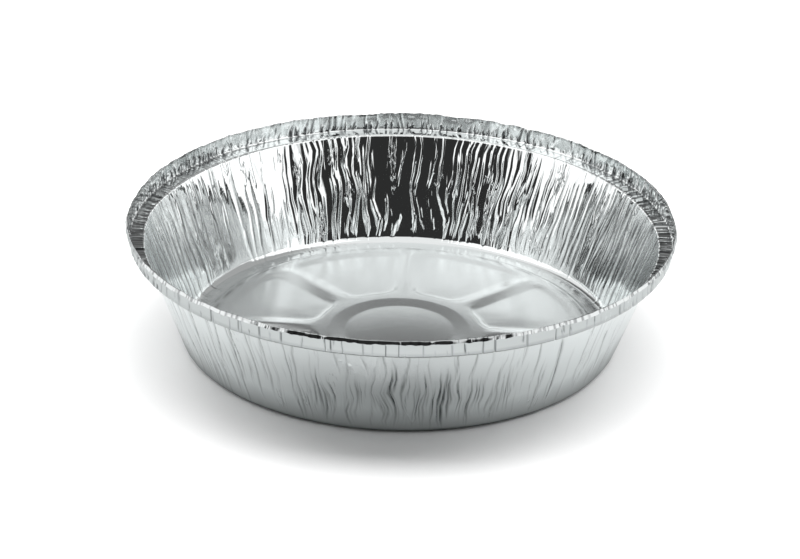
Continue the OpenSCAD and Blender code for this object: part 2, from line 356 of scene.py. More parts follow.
@dataclass
class SidePath:
    """Side view of the sheet's upper face, from the standing ring to the raw edge.

    Attributes:
        rim: Radius over the rolled edge.
        top: Height of the rolled edge.
        foil: Thickness of the foil.
        start: Radius at which the path starts.
        base: Radius at which the wall's line would meet the table.
        ledge: Width of the ledge.
        flange: Height of the rolled edge above the ledge.
        lean: Outward lean of the flange.
        curl: Width of the roll.
        curl_height: Height of the roll.
        lip_slant: Angle of the roll's lip from upright, in degrees.
    """

    rim: float
    top: float
    foil: float
    start: float
    base: float = 72.0
    ledge: float = 4.7
    flange: float = 6.2
    lean: float = 0.3
    curl: float = 0.85
    curl_height: float = 1.1
    lip_slant: float = 25.0
    r: np.ndarray = field(init=False)
    z: np.ndarray = field(init=False)
    normal: np.ndarray = field(init=False)
    run: np.ndarray = field(init=False)
    marks: list[float] = field(init=False)

    def __post_init__(self) -> None:
        """Works out the path, its outward normals and its running length."""
        ledge_z = self.top - self.flange
        flange_top = self.rim - self.curl
        foot = flange_top - self.lean
        # The lip of the roll slants, so its face looks up and out.
        lip = self.curl_height * math.tan(math.radians(self.lip_slant))
        corners = [(self.start, self.foil), (self.base, self.foil),
                   (foot - self.ledge, ledge_z), (foot, ledge_z),
                   (flange_top, self.top), (self.rim - lip, self.top),
                   (self.rim, self.top - self.curl_height)]
        roll = (self.curl - lip) / (1 + math.tan(math.radians(45 - self.lip_slant / 2)))
        radii = [3.0, 0.9, 0.7, roll, roll]
        straight_rows = [2, 11, 1, 5, 0, 2]
        bend_rows = [3, 2, 2, 2, 2]
        points = self._filleted(np.array(corners), radii, straight_rows, bend_rows)
        self.r, self.z = points[:, 0], points[:, 1]
        steps = np.diff(points, axis=0)
        lengths = np.linalg.norm(steps, axis=1)
        self.run = np.concatenate([[0], np.cumsum(lengths)])
        edge = np.stack([steps[:, 1], -steps[:, 0]], axis=1) / lengths[:, None]
        mean = np.concatenate([edge[:1], edge[:-1] + edge[1:], edge[-1:]])
        self.normal = mean / np.linalg.norm(mean, axis=1)[:, None]

    def _filleted(self, corners: np.ndarray, radii: list[float],
                  straight_rows: list[int], bend_rows: list[int]) -> np.ndarray:
        """Points of a line whose corners are rounded by true arcs.

        Each arc starts a tangent length before its corner, which is the radius times
        the tangent of half the turn, and its points stand off its centre by the
        radius. The running length of each arc's two ends is kept in marks.
        """
        ways = np.diff(corners, axis=0)
        ways /= np.linalg.norm(ways, axis=1)[:, None]
        points = [corners[:1]]
        self.marks = []
        for k, radius in enumerate(radii):
            before, after, corner = ways[k], ways[k + 1], corners[k + 1]
            turn = math.atan2(before[0] * after[1] - before[1] * after[0], float(before @ after))
            cut = radius * math.tan(abs(turn) / 2)
            first = corner - before * cut
            side = math.copysign(1, turn)
            centre = first + side * radius * np.array([-before[1], before[0]])
            spin = turn * np.linspace(0, 1, bend_rows[k] + 1)
            arm = first - centre
            arc = centre + np.stack([arm[0] * np.cos(spin) - arm[1] * np.sin(spin),
                                     arm[0] * np.sin(spin) + arm[1] * np.cos(spin)], axis=1)
            last = points[-1][-1]
            rows = straight_rows[k]
            share = np.arange(1, max(rows, 1))[:, None] / max(rows, 1)
            points.append(last + (first - last) * share)
            points.append(arc if rows else arc[1:])
            self.marks += [self._length(points[:-1] + [arc[:1]]), self._length(points)]
        last = points[-1][-1]
        share = np.arange(1, straight_rows[-1] + 1)[:, None] / straight_rows[-1]
        points.append(last + (corners[-1] - last) * share)
        return np.concatenate(points)

    @staticmethod
    def _length(pieces: list[np.ndarray]) -> float:
        """Length of the line through all the pieces' points."""
        return float(np.linalg.norm(np.diff(np.concatenate(pieces), axis=0), axis=1).sum())


class Reach(Enum):
    """Where a family of folds starts and ends, in heights of the wall from its foot.

    The ledge lies from 1.0 to 1.13 and the flange from there to 1.3.
    """

    FULL = (-0.06, 1.06)
    UPPER = (0.5, 1.06)
    LOWER = (0.05, 0.5)
    MIDDLE = (0.3, 0.75)
    LEDGE = (0.99, 1.15)
    FLANGE = (1.13, 1.31)
    FLANGE_FOOT = (1.12, 1.22)
    FAN = (0.06, 0.66)


@dataclass(frozen=True)
class Folds:
    """A family of folds that lie side by side in the wall.

    Attributes:
        start: Direction at which the family starts, in degrees.
        end: Direction at which it ends.
        spacing: Mean distance between folds in millimetres.
        depth: Mean height of a fold towards the inside.
        width: Distance over which a fold falls off at each side.
        reach: Part of the wall that the folds run over.
        scatter: Chance change of their ends, as a share of the wall.
        lean: Mean sideways run from foot to ledge in millimetres.
        fan: Chance change of the lean.
        sway: Size of the waves along a fold.
        forked: Share of the folds that split in two.
        line_shade: How dark the painted shade along a fold is, from 0 to 1.
    """

    start: float
    end: float
    spacing: float
    depth: float
    width: float
    reach: Reach = Reach.FULL
    scatter: float = 0.3
    lean: float = 0.0
    fan: float = 1.5
    sway: float = 0.35
    forked: float = 0.3
    line_shade: float = 0.5

    def tracks(self, radius: float, chance: np.random.Generator) -> dict[str, np.ndarray]:
        """Draws the folds of the family.

        Places are even with a chance shift. A split fold is two folds that share the
        lower part of their track and part above it.

        Args:
            radius: Radius of the wall at half its height.
            chance: Seeded source of chance.

        Returns:
            One array for each quantity of a fold.
        """
        span = math.radians(self.end - self.start) * radius
        count = max(1, round(span / self.spacing))
        even = (np.arange(count) + 0.5 + chance.uniform(-0.42, 0.42, count)) * span / count
        low, high = self.reach.value
        strength = chance.uniform(0.35, 1.35, count)
        drawn = {
            "place": np.degrees(even / radius) + self.start,
            "lean": self.lean + self.fan * chance.normal(0, 1, count),
            "sway": self.sway * chance.uniform(0.2, 1.4, count),
            "waves": chance.uniform(0.8, 2.6, count),
            "phase": chance.uniform(0, 1, count),
            "low": low + self.scatter * chance.uniform(-0.3, 1, count) * (high - low),
            "high": high - self.scatter * chance.uniform(-0.3, 1, count) * (high - low),
            "ease": np.full(count, 0.18 if low < 0.9 else 0.02),
            "depth": self.depth * strength,
            "line_shade": self.line_shade * strength,
            "width": self.width * chance.uniform(0.7, 1.4, count),
            "part_at": chance.uniform(0.1, 0.8, count),
            "part": np.zeros(count),
        }
        split = chance.uniform(0, 1, count) < self.forked
        gap = chance.uniform(0.5, 1.1, count) * self.spacing
        second = {name: values[split] for name, values in drawn.items()}
        drawn["part"] = np.where(split, gap / 2, 0)
        second["part"] = -gap[split] / 2
        second["low"] = np.maximum(second["low"], second["part_at"])
        return {name: np.concatenate([drawn[name], second[name]]) for name in drawn}


@dataclass(frozen=True)
class Crease:
    """One fold that the eye finds again, with its own track.

    Attributes:
        at_ledge: Direction at the ledge in degrees.
        at_middle: Direction at half the height.
        at_foot: Direction at the foot.
        low: Share of the wall at which it starts.
        high: Share at which it ends.
        depth: Height towards the inside in millimetres.
        width: Distance over which it falls off at each side.
    """

    at_ledge: float
    at_middle: float
    at_foot: float
    low: float = 0.0
    high: float = 1.1
    depth: float = 0.6
    width: float = 0.5


@dataclass
class FoldPattern:
    """Creases that the press leaves in the side of the tin, moved along its normals.

    Attributes:
        path: Side view whose lengths say where wall, ledge and flange are.
        seed: Seed of all folds.
        rim: Depth of the folds in ledge and flange.
        wander: How far the rolled edge wanders in and down.
        drift: How far neighbouring folds wander sideways together, in millimetres.
        families: Folds that lie side by side, region by region.
        creases: Single folds.
    """

    path: SidePath
    seed: int = 7
    rim: float = 0.16
    wander: float = 0.4
    drift: float = 1.8
    families: tuple[Folds, ...] = (
        # Back, seen from inside: bold folds at both sides of a smooth middle.
        Folds(99, 123, 2.6, 0.5, 0.85, scatter=0.12, forked=0.55, sway=0.3, fan=1.2),
        Folds(60, 81, 2.3, 0.45, 0.75, scatter=0.12, forked=0.5, sway=0.25, lean=-2.5),
        Folds(100, 124, 4.0, 0.3, 0.5, Reach.MIDDLE, sway=0.25),
        Folds(60, 82, 3.6, 0.3, 0.5, Reach.UPPER, sway=0.3, lean=-1.5),
        Folds(81, 100, 4.6, 0.2, 0.5, Reach.UPPER, fan=1.5, sway=0.25),
        Folds(81, 99, 5.0, 0.16, 0.6, Reach.MIDDLE, fan=1.5, sway=0.2),
        Folds(72, 110, 8.0, 0.14, 0.6, Reach.LOWER, fan=1.2, sway=0.25),
        # Right, seen from inside: close, straight and fine.
        Folds(30, 60, 2.2, 0.27, 0.55, scatter=0.15, forked=0.45, sway=0.3, lean=-2.5, fan=1.0, line_shade=1.0),
        Folds(-12, 30, 2.1, 0.2, 0.5, scatter=0.15, forked=0.3, sway=0.2, lean=-1.0, fan=0.7, line_shade=1.2),
        Folds(-14, 30, 3.4, 0.16, 0.55, scatter=0.5, forked=0.1, sway=0.15, fan=0.6),
        # Left, seen from inside: smooth, with clusters of thin folds.
        Folds(123, 146, 3.8, 0.27, 0.6, scatter=0.5, forked=0.4, fan=1.0),
        Folds(143, 155, 1.9, 0.24, 0.5, Reach.UPPER, sway=0.3, line_shade=0.9),
        Folds(146, 193, 3.0, 0.22, 0.5, scatter=0.4, sway=0.3, line_shade=1.2),
        Folds(158, 195, 4.4, 0.26, 0.6, scatter=0.6, sway=0.2, line_shade=1.2),
        # Left of the front, seen from outside: long straight thin folds.
        Folds(205, 250, 1.7, 0.4, 0.45, scatter=0.5, sway=0.12, forked=0.1, fan=0.5),
        # Front: smooth above, short fans below.
        Folds(248, 310, 2.4, 0.34, 0.42, Reach.FAN, scatter=0.5, fan=1.5, sway=0.25, line_shade=0.45),
        Folds(250, 312, 5.0, 0.34, 0.42, Reach.UPPER, fan=1.5, sway=0.25, line_shade=0.4),
        Folds(310, 335, 6.0, 0.2, 0.42, fan=1.0, line_shade=0.4),
        # Ledge: close radial wrinkles at both ends, loose ones elsewhere.
        Folds(-45, 38, 2.1, 0.3, 0.95, Reach.LEDGE, 0.1, fan=1.5, sway=0.0, forked=0.1, line_shade=1.0),
        Folds(155, 215, 2.5, 0.26, 0.75, Reach.LEDGE, 0.1, fan=1.5, sway=0.0, forked=0.1, line_shade=1.0),
        Folds(0, 360, 5.0, 0.08, 0.8, Reach.LEDGE, 0.3, fan=2.0, sway=0.0, forked=0.0, line_shade=0.5),
        # Flange: short strokes, mostly near its foot, and a few upright ones.
        Folds(0, 215, 2.8, 0.4, 0.6, Reach.FLANGE_FOOT, 0.3, fan=9.0, sway=0.0, forked=0.2, line_shade=1.4),
        Folds(5, 50, 1.9, 0.3, 0.6, Reach.FLANGE_FOOT, 0.1, fan=9.0, sway=0.0, forked=0.1, line_shade=1.6),
        Folds(140, 185, 2.3, 0.3, 0.6, Reach.FLANGE_FOOT, 0.1, fan=9.0, sway=0.0, forked=0.1, line_shade=1.6),
        Folds(0, 215, 3.6, 0.3, 0.45, Reach.FLANGE, 0.6, fan=7.0, sway=0.0, forked=0.2, line_shade=0.9),
        Folds(215, 360, 9.0, 0.34, 0.4, Reach.FLANGE, 0.3, fan=2.0, sway=0.1, forked=0.1, line_shade=0.9),
        Folds(215, 360, 5.0, 0.24, 0.4, Reach.FLANGE, 0.8, fan=3.0, sway=0.1, forked=0.1, line_shade=0.6),
    )
    clusters: tuple[float, ...] = (254.5, 262.5, 270.5, 279, 284.5, 291, 297.5)
    creases: tuple[Crease, ...] = (
        Crease(90.6, 90.2, 89.7, depth=0.3, width=0.45),
        Crease(101.2, 101.3, 98.8, 0.0, depth=0.45, width=0.7),
        Crease(97.0, 96.6, 98.6, 0.1, 0.45, depth=0.45, width=0.6),
        Crease(90.0, 91.5, 96.5, 0.04, 0.26, depth=0.7, width=1.2),
        Crease(86.0, 86.0, 83.2, 0.05, 0.78, depth=0.3, width=0.6),
        Crease(83.2, 83.0, 80.6, 0.02, depth=0.4, width=0.7),
        Crease(88.8, 88.8, 86.0, 0.15, depth=0.3, width=0.5),
        Crease(93.0, 93.6, 94.0, 0.5, 0.95, depth=0.3, width=0.5),
        Crease(104.0, 103.0, 101.8, 0.1, depth=0.45, width=0.8),
        Crease(108.5, 106.0, 106.5, 0.1, depth=0.5, width=1.0),
        Crease(120.5, 120.3, 120.2, depth=0.3, width=0.5),
        Crease(62.0, 62.6, 65.8, depth=0.5, width=1.2),
        Crease(57.0, 61.4, 66.0, 0.05, 0.7, depth=0.6, width=1.5),
        Crease(229.0, 227.5, 226.0, 0.45, depth=0.5, width=0.5),
        Crease(233.5, 232.0, 230.0, 0.5, depth=0.4, width=0.5),
        Crease(241.5, 240.3, 243.5, 0.4, depth=0.25, width=0.4),
        Crease(275.0, 274.0, 273.0, 0.5, depth=0.3, width=0.4),
        Crease(310.8, 312.4, 313.0, 0.12, 0.86, depth=0.55, width=0.55),
        Crease(327.5, 328.5, 331.0, 0.25, 0.7, depth=0.5, width=0.55),
    )

    def __post_init__(self) -> None:
        """Draws all folds once, family by family, and adds fans and single creases."""
        chance = np.random.default_rng(self.seed)
        middle = float(np.interp(self.path.run[-1] / 3, self.path.run, self.path.r))
        drawn = [family.tracks(middle, chance) for family in self.families]
        for centre in self.clusters:
            fan = Folds(centre - 2.4, centre + 2.4, 0.95, 0.42, 0.38, Reach.FAN, 0.4, sway=0.2, fan=0.6, line_shade=0.6)
            drawn.append(fan.tracks(middle, chance))
        self.tracks = {name: np.concatenate([d[name] for d in drawn]) for name in drawn[0]}

    def wall_folds(self, turn: np.ndarray, share: np.ndarray, radius: np.ndarray) -> np.ndarray:
        """Height of the wall's folds towards the inside, row by row, and the painted shade along them.

        Across a fold the height is 1 minus the square of the distance over the width,
        squared again, so both flanks end sharply, and the painted shade along it is that to
        the power of one and a half. Its track is a straight line with two
        sine waves, its strength swells along it, and its ends are eased.

        Args:
            turn: Places round the tin, one for each column.
            share: Height of each row as a share of the wall.
            radius: Radius of each row.

        Returns:
            Rows by columns: heights in millimetres, and how dark their painted shade is.
        """
        t = self.tracks
        rows = []
        for s, r in zip(share, radius):
            wave = 2 * math.pi * (t["waves"] * s + t["phase"])
            sideways = t["lean"] * (s - (t["low"] + t["high"]) / 2)
            sideways = sideways + t["sway"] * (np.sin(wave) + 0.4 * np.sin(2.3 * wave + 1))
            sideways = sideways + t["part"] * smooth(s - t["part_at"], 0, 0.3)
            track = t["place"] + np.degrees(sideways / r)
            from_low, from_high = (s - t["low"]) / t["ease"], (t["high"] - s) / t["ease"]
            ends = smooth(from_low, -0.4, 1) * smooth(from_high, -0.4, 1)
            swell = 0.8 + 0.3 * np.sin(1.3 * wave)
            size = np.stack([t["depth"] * swell, t["line_shade"]]) * ends
            row = self._row(turn, r, track, size, t["width"] * (0.4 + 0.6 * ends))
            own = self.creases
            bent = [np.interp(s, (0, 0.5, 1), (c.at_foot, c.at_middle, c.at_ledge)) for c in own]
            live = [c.depth * float(smooth(np.array(s - c.low), -0.03, 0.07)
                                    * (1 - smooth(np.array(s - c.high), -0.07, 0.03))) for c in own]
            # Single creases get painted shade too, 1.6 times their depth.
            size = np.array([1, 1.6])[:, None] * np.array(live)
            rows.append(row + self._row(turn, r, np.array(bent), size, np.array([c.width for c in own])))
        return np.stack(rows, axis=1)

    @staticmethod
    def _row(turn: np.ndarray, radius: float, track: np.ndarray, size: np.ndarray,
             width: np.ndarray) -> np.ndarray:
        """Sums of all folds' heights and of their painted shade along one row."""
        apart = (turn[None, :] * 360 - track[:, None] + 180) % 360 - 180
        away = np.radians(apart) * radius / width[:, None]
        bump = np.maximum(0, 1 - away ** 2) ** 2
        return np.stack([size[0] @ bump, size[1] @ bump ** 1.5])

    def sideways(self, turn: np.ndarray) -> np.ndarray:
        """Sideways wander of folds and mesh columns together, in millimetres.

        It is a broad and a fine relief, less at the sides, and round the middle of each cluster the
        distance from it times the height below the cluster's neck, under a bell, so
        the cluster's folds spread downwards like a flame. It fades out at foot and
        ledge.
        """
        _, foot, wall_top = self.path.marks[:3]
        up = ((self.path.run - foot) / (wall_top - foot))[:, None] + 0 * turn
        place = turn + 0 * up
        field = self.drift * ChanceRelief(40, 0.4, 23).at(place, up)
        field = field + 0.4 * self.drift * ChanceRelief(120, 0.2, 24).at(place, up)
        # Behind and in front the folds wind, and at the sides they run straight.
        field = field * (0.25 + 0.75 * np.maximum(near(place, 92, 42), near(place, 275, 30)))
        for centre in self.clusters:
            apart = np.radians((place * 360 - centre + 180) % 360 - 180) * self.path.r[:, None]
            field = field + 1.1 * apart * (0.55 - up) * np.exp(-(apart / 3.6) ** 2)
        return field * smooth(up, 0, 0.15) * (1 - smooth(up, 0.9, 1.04))

    def folds(self, turn: np.ndarray) -> np.ndarray:
        """Heights and pinched lines of the folds over the whole side path, rows by columns."""
        _, foot, wall_top = self.path.marks[:3]
        return self.wall_folds(turn, (self.path.run - foot) / (wall_top - foot), self.path.r)

    def painted_shade(self, turn: np.ndarray, lines: np.ndarray) -> tuple[np.ndarray, np.ndarray]:
        """How dark the painted shade on the foil is, from 0 to 1, rows by columns.

        Outside the tin the folds are grooves and all their painted shade lines count.
        Inside they count on ledge and flange, and a little on the side walls. Painted
        shade on the roll with chance specks, and a painted shade line where the flange
        bends out of the ledge, are added.

        Args:
            turn: Places of the columns.
            lines: Painted shade lines of the folds.

        Returns:
            Values for the upper and for the lower face.
        """
        _, _, wall_top, ledge_in, ledge_out, flange_foot, flange_top = self.path.marks[:7]
        run = self.path.run[:, None]
        place = np.broadcast_to(turn, lines.shape)
        share = np.minimum(lines, 0.9)
        on_rim = smooth(run, wall_top, ledge_in)
        specks = np.clip(3.0 * ChanceRelief(620, 9.0, 61).at(place, 0 * place) - 0.5, 0, 1)
        on_roll = smooth(run, flange_top - 0.3, flange_top)
        sides = 0.8 * (1 - near(turn, 90, 42))
        # Painted shade: fold lines inside count fully on the rim and partly at the sides; the roll gets painted
        # shade with specks.
        upper = np.maximum(share * (sides + (1 - sides) * on_rim), (0.25 + 0.4 * specks) * on_roll)
        # Painted shade line where the flange bends out of the ledge, on the outer face.
        bend = np.exp(-((run - (ledge_out + flange_foot) / 2) / 0.45) ** 2)
        return upper, np.maximum(share, 0.8 * bend + 0 * place)

    def move(self, turn: np.ndarray, folds: np.ndarray) -> np.ndarray:
        """Outward movement of the foil in millimetres, rows by columns.

        It is the sum of wall folds, slow waves and rim folds, each faded in and out
        by smooth steps in the running length.
        """
        _, foot, wall_top, ledge_in, ledge_out, flange_foot, flange_top = self.path.marks[:7]
        run = self.path.run[:, None]
        place = np.broadcast_to(turn, (len(run), len(turn)))
        up = np.broadcast_to(run - foot, place.shape)
        wall = smooth(run, foot - 2.5, foot + 1.5)
        on_rim = smooth(run, wall_top, ledge_in) * (1 - smooth(run, flange_top - 0.4, flange_top + 0.2))
        on_flange = smooth(run, ledge_out, flange_foot + 0.6) * on_rim
        front = near(turn, 273, 60)
        slow = 0.3 * ChanceRelief(26, 60.0, 4).at(place, up)
        slow = slow + 0.12 * ChanceRelief(105, 28.0, 5).at(place, up) * (1 - 0.6 * front)
        flutes = ChanceRelief(150, 9.0, 12).at(place, up) * (1 - 0.75 * front)
        held = wall * (1 - smooth(run, flange_top - 1, flange_top + 0.1))
        return wall * (1 - on_rim) * slow - held * folds + self.rim * on_flange * flutes

    def edge_fall(self, turn: np.ndarray, seed: int) -> np.ndarray:
        """How far the rolled edge stands inside its full size, never below zero."""
        waves = ChanceRelief(90, 10.0, seed).at(turn, np.zeros_like(turn))
        specks = ChanceRelief(260, 10.0, seed + 1).at(turn, np.zeros_like(turn))
        specks = specks * (0.7 - 0.6 * near(turn, 273, 100))
        return self.wander * np.clip(0.35 + 0.4 * waves + specks, 0, 1.3)


@dataclass(frozen=True)
class RolledFoil:
    """Rolled aluminium foil, as it comes from a polished mill roll.

    To the eye it is a bright mirror that its own crinkles break up, slightly satin
    where pressing has stretched it, with a faint grain along the rolling direction.
    Painted shade darkens it along folds, bends, the roll and the base's lines.

    Attributes:
        colour: Colour of the bare metal.
        crease_shade: Painted shade colour, mixed in along folds, bends, the roll and the base's lines.
        roughness: Gloss of the side.
        satin: Gloss of the base, which the press has stretched.
        satin_reach: Radius in millimetres up to which the base is satin.
        vein_mm: Size of the meshes between the thin upright veins.
        patch_mm: Width of the patches that veins and crumples gather in.
        crumple_mm: Size of the crumples that lie in patches.
        crinkle_mm: Size of the even crinkles over all of it.
        grain_mm: Spacing of the rolling grain, drawn coarse enough to show.
    """

    colour: str = "#ECEFEF"
    crease_shade: str = "#34393B"
    roughness: float = 0.055
    satin: float = 0.25
    satin_reach: float = 68.0
    vein_mm: float = 3.4
    patch_mm: float = 5.0
    crumple_mm: float = 1.3
    crinkle_mm: float = 2.4
    grain_mm: float = 0.5

    def material(self) -> bpy.types.Material:
        """Builds the node material on Object coordinates.

        All points of one upright line on the wall share one direction from the axis,
        so relief worked out from that direction and a squeezed height runs up the wall.
        """
        made = bpy.data.materials.new("rolled_foil")
        made.use_nodes = True
        tree = made.node_tree
        tree.nodes.clear()
        soft = {"interpolation_type": "SMOOTHSTEP"}
        place = add_node(tree, "ShaderNodeTexCoord").outputs["Object"]
        axes = add_node(tree, "ShaderNodeSeparateXYZ", Vector=place).outputs
        flat = add_node(tree, "ShaderNodeCombineXYZ", X=axes["X"], Y=axes["Y"]).outputs[0]
        radius = add_node(tree, "ShaderNodeVectorMath", {"operation": "LENGTH"}, i0=flat).outputs["Value"]
        unit = add_node(tree, "ShaderNodeVectorMath", {"operation": "NORMALIZE"}, i0=flat).outputs[0]
        spread = add_node(tree, "ShaderNodeVectorMath", {"operation": "SCALE"}, i0=unit, Scale=0.08).outputs[0]
        lift = add_node(tree, "ShaderNodeCombineXYZ", Z=axes["Z"]).outputs[0]
        unrolled = add_node(tree, "ShaderNodeVectorMath", {"operation": "ADD"}, i0=spread, i1=lift).outputs[0]
        tall = add_node(tree, "ShaderNodeMapping", Vector=unrolled, Scale=(1.0, 1.0, 0.12)).outputs[0]
        leaning = add_node(tree, "ShaderNodeMapping", Vector=unrolled, Scale=(1.0, 1.0, 0.28)).outputs[0]
        on_wall = add_node(tree, "ShaderNodeMapRange", soft, Value=axes["Z"], From_Min=1.8 * MM,
                           From_Max=5 * MM).outputs[0]
        # Veins: narrow crests along the middle level of a noise drawn out upright.
        veins = add_node(tree, "ShaderNodeTexNoise", Vector=tall, Scale=1 / (self.vein_mm * MM),
                         Detail=1.0, Roughness=0.5, Distortion=0.4).outputs["Fac"]
        off_level = add_node(tree, "ShaderNodeMath", {"operation": "SUBTRACT"}, i0=veins, i1=0.5).outputs[0]
        from_level = add_node(tree, "ShaderNodeMath", {"operation": "ABSOLUTE"}, i0=off_level).outputs[0]
        vein = add_node(tree, "ShaderNodeMapRange", soft, Value=from_level, From_Min=0.0, From_Max=0.035,
                        To_Min=1.0, To_Max=0.0).outputs[0]
        patches = add_node(tree, "ShaderNodeTexNoise", Vector=leaning, Scale=1 / (self.patch_mm * MM),
                           Detail=1.0, Roughness=0.5).outputs["Fac"]
        grouped = add_node(tree, "ShaderNodeMapRange", soft, Value=patches, From_Min=0.48,
                           From_Max=0.6).outputs[0]
        crowded = add_node(tree, "ShaderNodeMapRange", soft, Value=patches, From_Min=0.635,
                           From_Max=0.69).outputs[0]
        vein_here = add_node(tree, "ShaderNodeMath", {"operation": "MULTIPLY"}, i0=vein, i1=grouped).outputs[0]
        vein_relief = add_node(tree, "ShaderNodeMath", {"operation": "MULTIPLY"}, i0=vein_here,
                               i1=on_wall).outputs[0]
        bumpy = add_node(tree, "ShaderNodeTexNoise", Vector=leaning, Scale=1 / (self.crumple_mm * MM),
                         Detail=1.0, Roughness=0.5).outputs["Fac"]
        off_middle = add_node(tree, "ShaderNodeMath", {"operation": "SUBTRACT"}, i0=bumpy, i1=0.5).outputs[0]
        from_middle = add_node(tree, "ShaderNodeMath", {"operation": "ABSOLUTE"}, i0=off_middle).outputs[0]
        crumple = add_node(tree, "ShaderNodeMapRange", soft, Value=from_middle, From_Min=0.0, From_Max=0.09,
                           To_Min=1.0, To_Max=0.0).outputs[0]
        crumple_here = add_node(tree, "ShaderNodeMath", {"operation": "MULTIPLY"}, i0=crumple,
                                i1=crowded).outputs[0]
        crumple_relief = add_node(tree, "ShaderNodeMath", {"operation": "MULTIPLY"}, i0=crumple_here,
                                  i1=on_wall).outputs[0]
        crinkles = add_node(tree, "ShaderNodeTexNoise", Vector=place, Scale=1 / (self.crinkle_mm * MM),
                            Detail=3.0, Roughness=0.5).outputs["Fac"]
        grain_place = add_node(tree, "ShaderNodeMapping", Vector=place, Scale=(0.03, 1.0, 1.0)).outputs[0]
        grain = add_node(tree, "ShaderNodeTexNoise", Vector=grain_place, Scale=1 / (self.grain_mm * MM),
                         Detail=2.0).outputs["Fac"]
        first = add_node(tree, "ShaderNodeBump", Height=vein_relief, Distance=0.08 * MM,
                         Strength=0.8).outputs[0]
        second = add_node(tree, "ShaderNodeBump", Height=crumple_relief, Distance=0.12 * MM, Strength=0.8,
                          Normal=first).outputs[0]
        third = add_node(tree, "ShaderNodeBump", Height=crinkles, Distance=0.04 * MM, Strength=0.4,
                         Normal=second).outputs[0]
        fourth = add_node(tree, "ShaderNodeBump", Height=grain, Distance=0.008 * MM, Strength=0.4,
                          Normal=third).outputs[0]
        edge = self.satin_reach * MM
        dull = add_node(tree, "ShaderNodeMapRange", Value=radius, From_Min=edge, From_Max=edge + 2 * MM,
                        To_Min=self.satin, To_Max=self.roughness).outputs[0]
        # Painted shade: the attribute mixes the dark crease colour into the metal along folds, bends, the roll and
        # the base's lines.
        painted_shade = add_node(tree, "ShaderNodeAttribute", {"attribute_name": SHADE_ATTRIBUTE}).outputs["Fac"]
        shaded = add_node(tree, "ShaderNodeMix", {"data_type": "RGBA"}, i0=painted_shade,
                          i6=(*linear(self.colour), 1), i7=(*linear(self.crease_shade), 1)).outputs[2]
        shader = add_node(tree, "ShaderNodeBsdfPrincipled", Base_Color=shaded, Metallic=1.0,
                          Roughness=dull, Normal=fourth)
        add_node(tree, "ShaderNodeOutputMaterial", Surface=shader.outputs[0])
        return made


